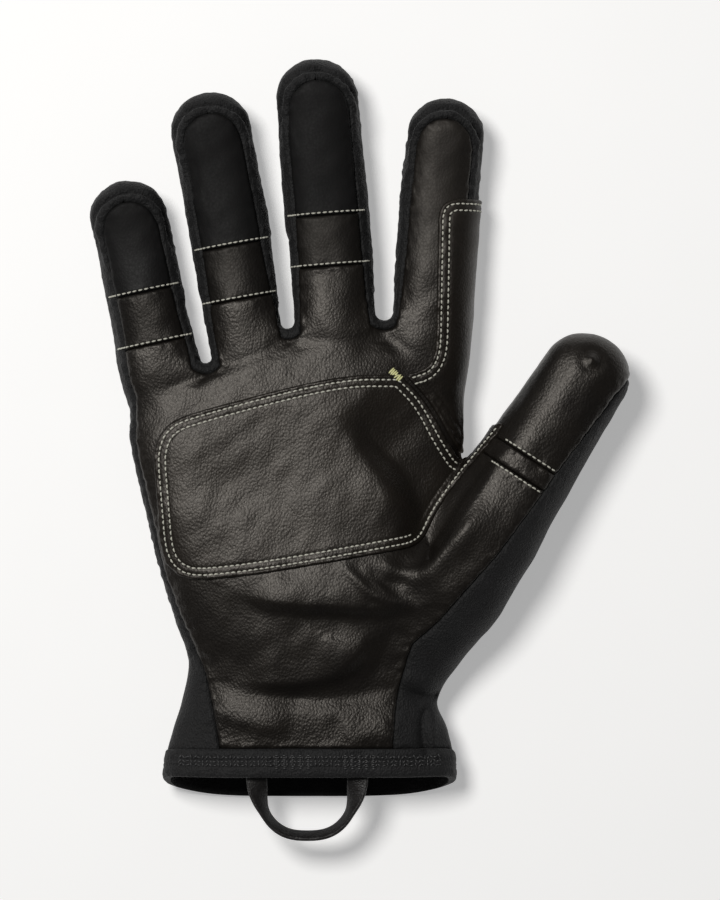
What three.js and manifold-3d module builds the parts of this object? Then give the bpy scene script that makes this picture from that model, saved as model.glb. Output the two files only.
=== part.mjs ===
// A climbing glove for the right hand, lying on its back with the palm up.
// X runs across the hand, Y from the cuff to the fingertips, and Z up out of the palm.
// The glove is a thin hollow hand: a loft for the palm, one for each finger and one for the thumb
// are joined, the same lofts shrunk by the wall are taken out, and the shell is cut along its seams
// into the panels that a glove maker sews together.
import * as THREE from "three";
import { mergeVertices } from "three/addons/utils/BufferGeometryUtils.js";
import Module from "manifold-3d";

const wasm = await Module();
wasm.setup();

// Driving dimensions, in millimetres
const palmLength = 157; // cuff edge to the crotch beside the index finger
const palmWidth = 112; // across the knuckles
const palmDepth = 31; // floor to the crown of the palm
const wall = 1.6; // leather and stretch cloth alike
const seamGap = 0.3; // between neighbouring panels
const patchThickness = 1.1; // reinforcement leather laid on the palm
const backSeamHeight = 7.5; // where the back panel meets the sides, above the underside
const rimWidth = 3.2; // side strip that shows beside a finger pad
const tipRim = 8; // side strip that shows beyond a finger pad
const webRim = 3.2; // side strip that shows below the crotch between two fingers
const hemHeight = 9.6; // binding round the cuff
const hemProud = 0.8; // binding beyond the wall
const cuffSlant = 0.3; // the palm side of the cuff is cut shorter, mm along Y per mm of height
const cuffBow = 2.5; // the cuff's two ends lie this much higher than its middle
const webbingWidth = 7; // pull loop
const webbingThickness = 1.3;
const loopMiddle = 0.0625; // the loop's middle, as a share of the palm's width
const loopSpread = 33.6; // between the middles of the loop's two legs
const loopReach = 19.9; // from the cuff edge to the loop's far bend
const loopTuck = 9; // length of each leg sewn inside the binding
const loopDrop = 5; // how far its far bend hangs below the binding's palm side
const loopTurn = 72; // degrees that the webbing turns from lying flat to standing on edge at the bend
const thumbBandWidth = 6.6; // between the thumb's two cross seams

// Each root is a point in the palm, as shares of its width, from the glove's middle line, and of its length.
const little = { name: "little", root: [-0.382, 0.936], turn: 12, length: 60.5, width: 26.2, depth: 22.5 };
const ring = { name: "ring", root: [-0.118, 0.997], turn: 10.3, length: 80.5, width: 27.3, depth: 23.5 };
const middle = { name: "middle", root: [0.146, 0.997], turn: 4.4, length: 90.6, width: 28.4, depth: 24 };
const index = { name: "index", root: [0.42, 0.997], turn: -5.4, length: 77.8, width: 26.5, depth: 23.5 };
const thumb = { name: "thumb", root: [0.344, 0.3], turn: -33, length: 126.2, width: 31.6, depth: 31 };
const fingers = [little, ring, middle, index];
// Cross seams of the three fingers that have them, as shares of the finger's length
const crossSeams = [
  { finger: little, first: 0.08, second: 0.37 },
  { finger: ring, first: 0.125, second: 0.35 },
  { finger: middle, first: 0.232, second: 0.42 },
];

// Sections along a finger: at is a share of its length, half of its width, low and high of its depth.
const fingerSections = [
  { at: -0.5, half: 0.36, low: 0.15, high: 0.8 },
  { at: -0.2, half: 0.5, low: 0, high: 0.98 },
  { at: 0, half: 0.53, low: 0, high: 1 },
  { at: 0.2, half: 0.505, low: 0, high: 1 },
  { at: 0.45, half: 0.495, low: 0.01, high: 0.98 },
  { at: 0.68, half: 0.49, low: 0.06, high: 0.99 },
  { at: 0.86, half: 0.48, low: 0.14, high: 1.03 },
  { at: 1, half: 0.47, low: 0.22, high: 1.06 },
];
// The thumb's table adds seam: where its back panel starts, as a share of the width to the right of its axis.
const thumbSections = [
  { at: -0.12, half: 0.3, low: 0.1, high: 0.62, seam: -0.02 },
  { at: 0, half: 0.5, low: 0, high: 0.8, seam: -0.02 },
  { at: 0.13, half: 0.57, low: 0, high: 0.96, seam: 0.1 },
  { at: 0.25, half: 0.61, low: 0, high: 1.08, seam: 0.17 },
  { at: 0.37, half: 0.605, low: 0, high: 1.14, seam: 0.24 },
  { at: 0.53, half: 0.545, low: 0.04, high: 1.1, seam: 0.28 },
  { at: 0.66, half: 0.505, low: 0.1, high: 1.06, seam: 0.31 },
  { at: 0.8, half: 0.485, low: 0.17, high: 1.03, seam: 0.36 },
  { at: 1, half: 0.46, low: 0.26, high: 1.02, seam: 0.42 },
];
// Sections along the palm: at is a share of its length, left and right of its width, high of its depth.
// bow drops the section's ends towards the cuff, as a share of the length.
const palmSections = [
  { at: 0, left: -0.366, right: 0.5, high: 0.84, bow: 0 },
  { at: 0.08, left: -0.362, right: 0.498, high: 0.84, bow: 0 },
  { at: 0.145, left: -0.34, right: 0.48, high: 0.84, bow: 0 },
  { at: 0.21, left: -0.312, right: 0.447, high: 0.84, bow: 0 },
  { at: 0.29, left: -0.293, right: 0.45, high: 0.88, bow: 0 },
  { at: 0.36, left: -0.32, right: 0.465, high: 0.94, bow: 0 },
  { at: 0.46, left: -0.366, right: 0.49, high: 0.99, bow: 0 },
  { at: 0.58, left: -0.408, right: 0.505, high: 1, bow: 0.006 },
  { at: 0.7, left: -0.445, right: 0.517, high: 0.96, bow: 0.015 },
  { at: 0.81, left: -0.468, right: 0.52, high: 0.9, bow: 0.03 },
  { at: 0.91, left: -0.44, right: 0.5, high: 0.84, bow: 0.06 },
  { at: 1, left: -0.37, right: 0.46, high: 0.74, bow: 0.086 },
];
const bowMiddle = 0.18; // where a bowed section is highest, as a share of the palm's width
const bowSpan = 0.42; // from there to where it has dropped by its bow
const bowMost = 1.1; // share of its bow that it drops at most

// Hollows pressed into the palm side: centre and reach as shares of the palm, depth of the palm's depth.
const dents = [
  { x: 0.16, y: 0.66, reachX: 0.2, reachY: 0.16, depth: 0.13 }, // cup of the palm
  { x: 0.37, y: 0.66, reachX: 0.09, reachY: 0.16, depth: 0.16 }, // crease at the thumb's root
  { x: 0.17, y: 0.42, reachX: 0.14, reachY: 0.035, depth: 0.05 }, // fold across the heel
  { x: 0.12, y: 0.25, reachX: 0.3, reachY: 0.05, depth: 0.06 }, // drawn-in wrist
];

// Seams on the palm side, as shares of the palm.
const leftSeam = [
  [-0.46, 0.93], [-0.447, 0.87], [-0.449, 0.77], [-0.428, 0.68], [-0.398, 0.59],
  [-0.362, 0.485], [-0.314, 0.39], [-0.262, 0.305], [-0.235, 0.25], [-0.195, 0.1],
];
const rightSeam = [[0.36, 0.3], [0.33, 0.215], [0.316, 0.1]]; // below the thumb
// Reinforcement patches: x and y of each corner, and its rounding as a share of the palm's width.
const palmPatchCorners = [
  [0.338, 0.9, 0.018], [0.16, 0.9, 0.54], [-0.2, 0.836, 0.54], [-0.4, 0.79, 0.125], [-0.362, 0.462, 0.134],
  [-0.11, 0.474, 0.27], [0.4, 0.54, 0.045], [0.46, 0.63, 0.18], [0.655, 0.8, 0.027], [0.57, 0.78, 0.027],
  [0.52, 0.713, 0.027], [0.472, 0.764, 0.27], [0.41, 0.85, 0.18],
];
const indexPatchCorners = [
  [0.62, 1.273, 0.009], [0.452, 1.273, 0.0625], [0.443, 0.92, 0.09], [0.352, 0.9, 0.018],
  [0.424, 0.846, 0.18], [0.486, 0.764, 0.27], [0.53, 0.724, 0.027], [0.56, 0.8, 0.027],
];
const backGoreEdge = [[0.3, -0.1], [0.33, 0.35], [0.44, 0.62], [0.53, 0.72], [0.66, 0.86]]; // on the hidden back

// Facets round each loft: outside, and coarser inside
const facets = { palm: [36, 20], finger: [16, 8], thumb: [18, 12] };
const palmRoundness = 2.7; // exponent of the section's outline: 2 is an ellipse
const fingerRoundness = 2.3;
const pressedFlat = 1.1; // how far the round underside would dip below the floor it lies on
const capAngles = [28, 52, 74];

const degrees = Math.PI / 180;
const mix = (a, b, t) => a + (b - a) * t;
const palmPoint = ([x, y]) => [x * palmWidth, y * palmLength];

// The value of one column of a table of sections, between its rows.
function column(rows, name, at) {
  const next = rows.findIndex((row) => row.at >= at);
  if (next <= 0) return rows[next < 0 ? rows.length - 1 : 0][name];
  const [a, b] = [rows[next - 1], rows[next]];
  return mix(a[name], b[name], (at - a.at) / (b.at - a.at));
}

// How far the palm side is pressed in at a point.
function dentAt(x, y) {
  let sum = 0;
  for (const dent of dents) {
    const dx = (x / palmWidth - dent.x) / dent.reachX;
    const dy = (y / palmLength - dent.y) / dent.reachY;
    sum += dent.depth * palmDepth * Math.exp(-(dx * dx + dy * dy));
  }
  return sum;
}

// A closed skin over rings of points that all have the same count, with a fan at each end.
function skin(rings) {
  const count = rings[0].length;
  const points = rings.flat();
  const index = [];
  for (let r = 0; r + 1 < rings.length; r++)
    for (let i = 0; i < count; i++) {
      const [a, b] = [r * count + i, r * count + ((i + 1) % count)];
      index.push(a, b, b + count, a, b + count, a + count);
    }
  const fan = (ring, first, turned) => {
    const middle = new THREE.Vector3();
    ring.forEach((p) => middle.addScaledVector(p, 1 / count));
    const hub = points.push(middle) - 1;
    for (let i = 0; i < count; i++) {
      const [a, b] = [first + i, first + ((i + 1) % count)];
      index.push(...(turned ? [hub, a, b] : [hub, b, a]));
    }
  };
  fan(rings[0], 0, false);
  fan(rings[rings.length - 1], (rings.length - 1) * count, true);
  return new THREE.BufferGeometry().setFromPoints(points).setIndex(index);
}

// A closed geometry as a solid that can be joined and cut.
function solid(geometry) {
  const bare = geometry.clone();
  bare.deleteAttribute("normal");
  bare.deleteAttribute("uv");
  const merged = mergeVertices(bare, 1e-4);
  const made = new wasm.Manifold(
    new wasm.Mesh({
      numProp: 3,
      vertProperties: new Float32Array(merged.attributes.position.array),
      triVerts: new Uint32Array(merged.index.array),
    }),
  );
  if (made.volume() > 0) return made;
  for (let i = 0; i < merged.index.array.length; i += 3)
    [merged.index.array[i], merged.index.array[i + 1]] = [merged.index.array[i + 1], merged.index.array[i]];
  return solid(merged);
}

const join = (...parts) => parts.flat().reduce((a, b) => a.add(b));

// One ring of a section: half wide and from low to high, pressed flat where it would go through the floor.
function sectionRing(count, roundness, half, low, high, floor, place) {
  const middle = (low + high) / 2;
  return Array.from({ length: count }, (_, i) => {
    const angle = ((i + 0.5) / count) * 2 * Math.PI;
    const bend = (v) => Math.sign(v) * Math.abs(v) ** (2 / roundness);
    const z = middle + ((high - low) / 2) * bend(Math.sin(angle));
    return place(half * bend(Math.cos(angle)), Math.max(z, floor));
  });
}

// The frame of a finger or the thumb: across its axis and along it, to a point of the part.
function limbFrame(limb) {
  const [x, y] = palmPoint(limb.root);
  const [s, c] = [Math.sin(limb.turn * degrees), Math.cos(limb.turn * degrees)];
  return (across, along, z = 0) => new THREE.Vector3(x - s * along + c * across, y + c * along + s * across, z);
}

// A finger or the thumb, grown or shrunk by an amount, with a round tip.
function limbSolid(limb, rows, count, grow) {
  const place = limbFrame(limb);
  const tipRow = rows[rows.length - 1];
  const capLength = limb.width * tipRow.half * 0.96;
  const capStart = 1 - capLength / limb.length;
  const floor = Math.max(0, -grow);
  const ring = (at, shrink, beyond) => {
    const half = limb.width * column(rows, "half", at) + grow;
    const low = limb.depth * column(rows, "low", at) - pressedFlat - grow;
    const high = limb.depth * column(rows, "high", at) + grow;
    const middle = (low + high) / 2;
    const tall = ((high - low) / 2) * shrink;
    return sectionRing(count, fingerRoundness, half * shrink, middle - tall, middle + tall, floor, (across, z) =>
      place(across, limb.length * at + beyond, z),
    );
  };
  const body = rows.filter((row) => row.at < capStart - 0.06).map((row) => ring(row.at, 1, 0));
  const cap = [0, ...capAngles].map((angle) =>
    ring(capStart, Math.cos(angle * degrees), (capLength + grow) * Math.sin(angle * degrees)),
  );
  return solid(skin([...body, ...cap]));
}

// The palm, wrist and cuff, grown or shrunk by an amount. Past the cuff edge it goes on by extra.
function palmSolid(count, grow, extra) {
  const floor = Math.max(0, -grow);
  const bowed = (x) => Math.min(bowMost, ((x / palmWidth - bowMiddle) / bowSpan) ** 2);
  const ring = (row, shift) => {
    const [left, right] = [row.left * palmWidth - grow, row.right * palmWidth + grow];
    const high = row.high * palmDepth + grow;
    return sectionRing(count, palmRoundness, (right - left) / 2, -pressedFlat - grow, high, floor, (across, z) => {
      const x = (left + right) / 2 + across;
      const slant = cuffSlant * z * Math.max(0, 1 - row.at * 2.6);
      const y = row.at * palmLength + shift + slant - row.bow * palmLength * bowed(x);
      const upper = Math.max(0, (2 * z) / high - 1);
      return new THREE.Vector3(x, y, z - dentAt(x, y) * Math.sqrt(upper));
    });
  };
  const last = palmSections[palmSections.length - 1];
  const rings = palmSections.map((row) => ring(row, row === last ? grow : 0));
  return solid(skin(extra ? [ring(palmSections[0], -extra), ...rings] : rings));
}

// The whole hand, grown or shrunk by an amount.
function handSolid(grow, extra = 0) {
  const inside = grow < 0 ? 1 : 0;
  return join(
    palmSolid(facets.palm[inside], grow, extra),
    fingers.map((finger) => limbSolid(finger, fingerSections, facets.finger[inside], grow)),
    limbSolid(thumb, thumbSections, facets.thumb[inside], grow),
  );
}

// A prism over a flat outline, through the whole thickness of the glove.
function prism(points) {
  const shape = new THREE.Shape(points.map(([x, y]) => new THREE.Vector2(x, y)));
  const made = new THREE.ExtrudeGeometry(shape, { depth: 4 * palmDepth, bevelEnabled: false });
  return solid(made.translate(0, 0, -2 * palmDepth));
}

// An outline moved outwards by a distance, corner by corner.
function grown(points, distance) {
  const area = points.reduce((sum, [x, y], i) => {
    const [nx, ny] = points[(i + 1) % points.length];
    return sum + x * ny - nx * y;
  }, 0);
  const side = Math.sign(area) * distance;
  return points.map(([x, y], i) => {
    const [ax, ay] = points[(i + points.length - 1) % points.length];
    const [bx, by] = points[(i + 1) % points.length];
    const before = new THREE.Vector2(y - ay, ax - x).normalize();
    const after = new THREE.Vector2(by - y, x - bx).normalize();
    const both = before.clone().add(after).normalize();
    const reach = side / Math.max(0.35, both.dot(after));
    return [x + both.x * reach, y + both.y * reach];
  });
}

// Corners given as shares of the palm with a radius, as an outline with round corners.
function rounded(corners) {
  const path = new THREE.Shape();
  corners.forEach((corner, i) => {
    const at = new THREE.Vector2(...palmPoint(corner));
    const towards = (other) => {
      const far = new THREE.Vector2(...palmPoint(other));
      const reach = Math.min(corner[2] * palmWidth, at.distanceTo(far) * 0.48);
      return at.clone().add(far.sub(at).setLength(reach));
    };
    const from = towards(corners[(i + corners.length - 1) % corners.length]);
    const to = towards(corners[(i + 1) % corners.length]);
    if (i === 0) path.moveTo(from.x, from.y);
    else path.lineTo(from.x, from.y);
    path.quadraticCurveTo(at.x, at.y, to.x, to.y);
  });
  return path.getPoints(2).map((p) => [p.x, p.y]);
}

// The outline of a pad on a finger between two shares of its length, or on to its round tip.
function padOutline(finger, from, to, sideInset = rimWidth) {
  const place = limbFrame(finger);
  const round = to === undefined;
  const half = (at) => finger.width * column(fingerSections, "half", at) - sideInset;
  const end = round ? finger.length - tipRim - half(1) : finger.length * to;
  const stations = [0, 0.33, 0.67, 1].map((t) => mix(finger.length * from, end, t));
  const right = stations.map((along) => [half(along / finger.length), along]);
  const tip = round
    ? [30, 60, 90, 120, 150].map((angle) => [
        half(1) * Math.cos(angle * degrees),
        end + half(1) * Math.sin(angle * degrees),
      ])
    : [];
  const left = right.map(([across, along]) => [-across, along]).reverse();
  return [...right, ...tip, ...left].map((p) => place(...p).toArray().slice(0, 2));
}

// The thumb's leather between two shares of its length: from beyond its inner side to its seam.
function thumbOutline(from, to) {
  const place = limbFrame(thumb);
  const stations = [0, 0.25, 0.5, 0.75, 1].map((t) => mix(from, to, t));
  const seam = stations.map((at) => [thumb.width * column(thumbSections, "seam", at), thumb.length * at]);
  const inner = [to, from].map((at) => [-thumb.width * 0.7, thumb.length * at]);
  return [...seam, ...inner].map((p) => place(...p).toArray().slice(0, 2));
}

// Everything above the seam that joins the back panel to the sides, lowered by a drop.
function aboveBackSeam(drop) {
  const slab = (rings) => solid(skin(rings));
  const tall = 3 * palmDepth;
  const limbSlab = (limb, rows) => {
    const place = limbFrame(limb);
    const wide = limb.width * 0.62;
    const stations = [...rows.map((row) => row.at), 1.3];
    return slab(
      stations.map((at) => {
        const base = limb.depth * column(rows, "low", at) + backSeamHeight - drop;
        const corner = (across, z) => place(across, limb.length * at, z);
        return [corner(-wide, base), corner(wide, base), corner(wide, tall), corner(-wide, tall)];
      }),
    );
  };
  const z = backSeamHeight - drop;
  const palmSlab = [-0.3, 0.9].map((at) =>
    [[-1, z], [1, z], [1, tall], [-1, tall]].map(([x, h]) => new THREE.Vector3(x * palmWidth, at * palmLength, h)),
  );
  return join(
    slab(palmSlab),
    fingers.map((finger) => limbSlab(finger, fingerSections)),
    limbSlab(thumb, thumbSections),
  );
}

// Everything between two distances from the slanted cuff edge.
function cuffSlice(from, to) {
  const tall = 3 * palmDepth;
  const [left, right] = [palmSections[0].left * palmWidth, palmSections[0].right * palmWidth];
  const ring = (side) => {
    const x = mix(left, right, (side + 1) / 2);
    const lift = cuffBow * Math.min(1, side ** 4);
    return [[from, -tall], [to, -tall], [to, tall], [from, tall]].map(
      ([y, z]) => new THREE.Vector3(x, y + cuffSlant * z + (y < palmLength ? lift : 0), z),
    );
  };
  return solid(skin([-4, -1, -0.85, -0.6, 0, 0.6, 0.85, 1, 4].map(ring)));
}

// The line of crotches between the fingers, as it shows on the palm side.
function webLine(rim) {
  const last = palmSections[palmSections.length - 1];
  return [-0.36, -0.27, -0.17, -0.06, 0.05, 0.18, 0.3, 0.4].map((x) => {
    const drop = last.bow * Math.min(bowMost, ((x - bowMiddle) / bowSpan) ** 2);
    return [x * palmWidth, (1 - drop) * palmLength - rim];
  });
}

// The palm leather's outline: between its two side seams, over the finger roots, the whole front of the
// index finger and the thumb up to its first cross seam.
const thumbSeams = [0.572, 0.572 + thumbBandWidth / thumb.length];
function palmLeatherRegion(extra) {
  const palm = [
    ...leftSeam.map(palmPoint).reverse(),
    ...webLine(webRim),
    palmPoint([0.56, 0.96]),
    palmPoint([0.55, 0.76]),
    palmPoint([0.48, 0.55]),
    ...rightSeam.map(palmPoint),
  ];
  const place = limbFrame(index);
  const side = [[0, -0.3], [0.62, -0.3], [0.62, 0.53], [0, 0.53]].map(([across, along]) =>
    place(across * index.width, along * index.length).toArray().slice(0, 2),
  );
  const roots = crossSeams.map(({ finger, first }) => padOutline(finger, -0.3, first));
  const outlines = [palm, side, padOutline(index, -0.3), thumbOutline(0.02, thumbSeams[0]), ...roots];
  return join(outlines.map((points) => prism(grown(points, extra))));
}

// The shell and its halves
const cuffExtra = 20;
const outside = handSolid(0, cuffExtra);
const inside = handSolid(-wall, cuffExtra);
const body = cuffSlice(hemHeight, 3 * palmLength);
const shell = outside.subtract(inside).intersect(body);
const front = shell.intersect(aboveBackSeam(0));
const back = shell.subtract(aboveBackSeam(seamGap));

// Pads along the three fingers that have cross seams, and along the thumb
const pads = [];
for (const { finger, first, second } of crossSeams) {
  const step = seamGap / finger.length;
  pads.push({ name: `${finger.name}_mid_pad`, outline: padOutline(finger, first + step, second) });
  pads.push({ name: `${finger.name}_tip_pad`, outline: padOutline(finger, second + step) });
}
const thumbStep = seamGap / thumb.length;
pads.push({ name: "thumb_band", outline: thumbOutline(thumbSeams[0] + thumbStep, thumbSeams[1]) });
pads.push({ name: "thumb_tip", outline: thumbOutline(thumbSeams[1] + thumbStep, 1.06) });

// The side strips are what the pads and the palm leather leave of the front half.
const padCuts = join(pads.map((pad) => prism(grown(pad.outline, seamGap))));
const leather = palmLeatherRegion(seamGap).add(padCuts);
const tipSlits = fingers.map((finger) => {
  const place = limbFrame(finger);
  const far = finger.length * 1.3;
  const slit = [[-1, 0], [1, 0], [1, far], [-1, far]].map(([side, along]) =>
    place((side * seamGap) / 2, along).toArray().slice(0, 2),
  );
  return prism(slit);
});
const sides = front.subtract(leather).subtract(join(tipSlits));

// The region between two finger axes, or outside the first or last one.
const axisFoot = 0.2; // how far an axis runs into the palm, as a share of its width
function between(first, second) {
  const axis = (finger) => {
    const place = limbFrame(finger);
    const ends = [finger.length * 1.4, -axisFoot * palmWidth];
    return ends.map((along) => place(0, along).toArray().slice(0, 2));
  };
  const wide = 2 * palmWidth;
  const start = first ? axis(first) : [[-wide, 2 * palmLength], [-wide, -palmLength]];
  const end = second ? axis(second).reverse() : [[wide, -palmLength], [wide, 2 * palmLength]];
  const foot = first && second ? [] : [[(first ? -0.1 : 0.3) * palmWidth, -palmLength]];
  return prism([...start, ...foot, ...end]);
}

// Under the index patch the cloth beside the index finger ends, and the thumb's gore begins.
const goreTop = 0.93 * palmLength;
function beyond(y) {
  const [wide, far] = [2 * palmWidth, 3 * palmLength];
  return prism([[0, y], [wide, y], [wide, far], [0, far]]);
}

// The gore runs from the thumb's back down to the cuff, round the side of the hand.
const goreBack = [...backGoreEdge, [0.66, 1.4], [2, 1.4], [2, -0.2]].map(palmPoint);
const goreSide = sides.intersect(between(index, null)).subtract(beyond(goreTop));
const underThumb = shell.subtract(aboveBackSeam(0)).intersect(prism(goreBack));
const gore = goreSide.add(underThumb);
const backPanel = back.subtract(prism(grown(goreBack, seamGap)));

// Reinforcement leather laid over the palm and the index finger's side
const laid = handSolid(seamGap + patchThickness).subtract(handSolid(seamGap)).intersect(aboveBackSeam(0));
const palmPatch = laid.intersect(prism(rounded(palmPatchCorners)));
const indexPatch = laid.intersect(prism(rounded(indexPatchCorners)));

// Binding round the cuff
const hem = handSolid(hemProud, cuffExtra).subtract(inside).intersect(cuffSlice(0, hemHeight - seamGap));

// The pull loop: webbing that lies flat inside the binding's palm side and stands on edge at its bend.
function pullLoop() {
  const middleX = loopMiddle * palmWidth;
  const top = palmSections[0].high * palmDepth;
  const half = loopSpread / 2;
  const cuffY = cuffSlant * top;
  const tucked = [1, 0.5].map((t) => ({ x: -half, y: cuffY + loopTuck * t, roll: 90, drop: 0 }));
  const bends = 12;
  const bend = Array.from({ length: bends + 1 }, (_, i) => {
    const angle = (i / bends) * Math.PI;
    const roll = 90 - loopTurn * Math.min(1, 1.7 * Math.sin(angle));
    const side = Math.sign(Math.cos(angle)) * Math.abs(Math.cos(angle)) ** 0.75;
    return { x: -half * side, y: cuffY - loopReach * Math.sin(angle), roll, drop: loopDrop * Math.sin(angle) };
  });
  const route = [...tucked, ...bend, ...tucked.map((p) => ({ ...p, x: half })).reverse()];
  const rollAxis = new THREE.Vector3();
  const rings = route.map((p, i) => {
    const [a, b] = [route[Math.max(0, i - 1)], route[Math.min(route.length - 1, i + 1)]];
    const along = new THREE.Vector3(b.x - a.x, b.y - a.y, 0).normalize();
    const inward = new THREE.Vector3(-along.y, along.x, 0);
    const face = inward.multiplyScalar(Math.cos(p.roll * degrees)).addScaledVector(
      new THREE.Vector3(0, 0, 1), Math.sin(p.roll * degrees),
    );
    const wide = rollAxis.crossVectors(along, face).clone();
    const sag = 1 - Math.abs(2 * (p.x / (palmWidth * 0.866))) ** palmRoundness;
    const ceiling = (top + pressedFlat) / 2 - pressedFlat / 2;
    const z = ceiling + (top - ceiling) * Math.max(0, sag) ** (1 / palmRoundness);
    const centre = new THREE.Vector3(middleX + p.x, p.y, z - wall - 3 * seamGap - webbingThickness / 2 - p.drop);
    return [[-1, -1], [1, -1], [1, 1], [-1, 1]].map(([w, t]) =>
      centre.clone().addScaledVector(wide, (w * webbingWidth) / 2).addScaledVector(face, (t * webbingThickness) / 2),
    );
  });
  return solid(skin(rings));
}

// Materials
const finish = (color, roughness) => new THREE.MeshStandardMaterial({ color, roughness, metalness: 0 });
const leatherFinish = finish(0x24211f, 0.48);
const patchFinish = finish(0x2a2623, 0.45);
const clothFinish = finish(0x17181b, 0.85);
const webbingFinish = finish(0x1c1b1e, 0.8);

// A solid as a named mesh of the glove
const glove = new THREE.Group();
function add(name, made, material) {
  const mesh = made.getMesh();
  const geometry = new THREE.BufferGeometry()
    .setAttribute("position", new THREE.BufferAttribute(new Float32Array(mesh.vertProperties), 3))
    .setIndex(new THREE.BufferAttribute(new Uint32Array(mesh.triVerts), 1));
  const part = new THREE.Mesh(geometry.toNonIndexed(), material);
  part.geometry.computeVertexNormals();
  part.name = name;
  glove.add(part);
}

add("palm_leather", front.intersect(palmLeatherRegion(0)).subtract(padCuts), leatherFinish);
for (const pad of pads) add(pad.name, front.intersect(prism(pad.outline)), leatherFinish);
add("palm_patch", palmPatch, patchFinish);
add("index_patch", indexPatch, patchFinish);
add("back_panel", backPanel, clothFinish);
add("little_side", sides.intersect(between(null, little)), clothFinish);
add("little_ring_side", sides.intersect(between(little, ring)), clothFinish);
add("ring_middle_side", sides.intersect(between(ring, middle)), clothFinish);
add("middle_index_side", sides.intersect(between(middle, index)), clothFinish);
add("index_side", sides.intersect(between(index, null)).intersect(beyond(goreTop + seamGap)), clothFinish);
add("thumb_gore", gore, clothFinish);
add("cuff_hem", hem, clothFinish);
add("pull_loop", pullLoop(), webbingFinish);

// The origin is under the middle of the glove, on the surface it lies on.
const bounds = new THREE.Box3().setFromObject(glove);
const centre = bounds.getCenter(new THREE.Vector3());
glove.position.set(-centre.x, -centre.y, -bounds.min.z);

export default glove;
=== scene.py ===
"""A climbing glove for the right hand, lying on its back with the palm up.

The hand is an implicit surface: tubes for the palm, the fingers and the thumb, blended where they meet.
Its skin is cut along the seams into panels, which get thickness, rolled edges, folds and stitching.
Lengths are in millimetres in the pattern's frame until a mesh is made.
"""
import math

import bpy
import numpy as np
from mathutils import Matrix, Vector
from mathutils.bvhtree import BVHTree


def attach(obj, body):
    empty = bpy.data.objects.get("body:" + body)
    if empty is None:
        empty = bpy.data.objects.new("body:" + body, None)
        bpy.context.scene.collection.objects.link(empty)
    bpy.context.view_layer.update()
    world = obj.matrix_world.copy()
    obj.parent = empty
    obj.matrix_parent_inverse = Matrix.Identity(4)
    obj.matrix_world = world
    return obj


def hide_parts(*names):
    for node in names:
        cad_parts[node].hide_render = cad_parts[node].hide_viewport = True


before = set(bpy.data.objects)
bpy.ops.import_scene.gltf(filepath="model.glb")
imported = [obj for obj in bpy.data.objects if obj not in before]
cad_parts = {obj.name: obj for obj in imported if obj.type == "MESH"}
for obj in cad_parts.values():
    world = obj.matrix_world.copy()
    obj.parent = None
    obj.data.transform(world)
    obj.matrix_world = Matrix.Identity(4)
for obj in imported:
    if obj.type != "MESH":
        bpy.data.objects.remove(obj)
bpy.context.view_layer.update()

# The pattern's frame starts at the middle of the cuff's edge; the part's at the middle of its box.
MIDDLE_X = 24.546
MIDDLE_Y = 116.431
MM = 0.001

PALM_LENGTH = 157.0
PALM_WIDTH = 112.0
PALM_DEPTH = 31.0
BACK_SEAM = 7.5
RIM = 3.2
TIP_RIM = 7.4
WEB_RIM = 3.2
HEM_HEIGHT = 9.6
CUFF_SLANT = 0.3
CUFF_BOW = 2.5
# the middle of the cuff's width, half of its width, and its height
CUFF_MIDDLE, CUFF_HALF, CUFF_TOP = 0.067 * PALM_WIDTH, 0.433 * PALM_WIDTH, 0.84 * PALM_DEPTH
PRESSED_FLAT = 1.1
PALM_ROUND = 2.7
FINGER_ROUND = 2.3
# how long a round end is: at a tip as a share of half the width, then in mm at a root, at the palm's end
# and as a rule
TIP_CAP, ROOT_CAP, PALM_CAP, CAP_SCALE = 0.96, 8.0, 9.0, 12.0
# how softly one form runs into the next, in mm
THUMB_BLEND, FINGER_BLEND, WEB_BLEND, GAP_BLEND, FLOOR_BLEND = 5.0, 3.0, 6.0, 2.5, 1.2

# name: root x and y as shares of the palm, turn in degrees, length, width, depth, cross seams
FINGERS = {
    "little": (-0.382, 0.936, 12, 60.5, 26.2, 22.5, (0.08, 0.37)),
    "ring": (-0.118, 0.997, 10.3, 80.5, 27.3, 23.5, (0.125, 0.35)),
    "middle": (0.146, 0.997, 4.4, 90.6, 28.4, 24, (0.232, 0.42)),
    "index": (0.42, 0.997, -5.4, 77.8, 26.5, 23.5, ()),
}
THUMB = (0.344, 0.3, -33, 126.2, 31.6, 31, (0.572, 0.624))
# at, half width, low and high: shares of the length, the width, the depth and the depth
FINGER_ROWS = [
    (-0.5, 0.36, 0.15, 0.8), (-0.2, 0.5, 0, 0.98), (0, 0.53, 0, 1), (0.2, 0.505, 0, 1),
    (0.45, 0.495, 0.01, 0.98), (0.68, 0.49, 0.06, 0.99), (0.86, 0.48, 0.14, 1.03), (1, 0.47, 0.22, 1.06),
]
# the same, and the seam's place to the right of the axis as a share of the width
THUMB_ROWS = [
    (-0.12, 0.3, 0.1, 0.62, -0.02), (0, 0.5, 0, 0.8, -0.02), (0.13, 0.57, 0, 0.96, 0.1),
    (0.25, 0.61, 0, 1.08, 0.17), (0.37, 0.605, 0, 1.14, 0.24), (0.53, 0.545, 0.04, 1.1, 0.28),
    (0.66, 0.505, 0.1, 1.06, 0.31), (0.8, 0.485, 0.17, 1.03, 0.36), (1, 0.46, 0.26, 1.02, 0.42),
]
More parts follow.
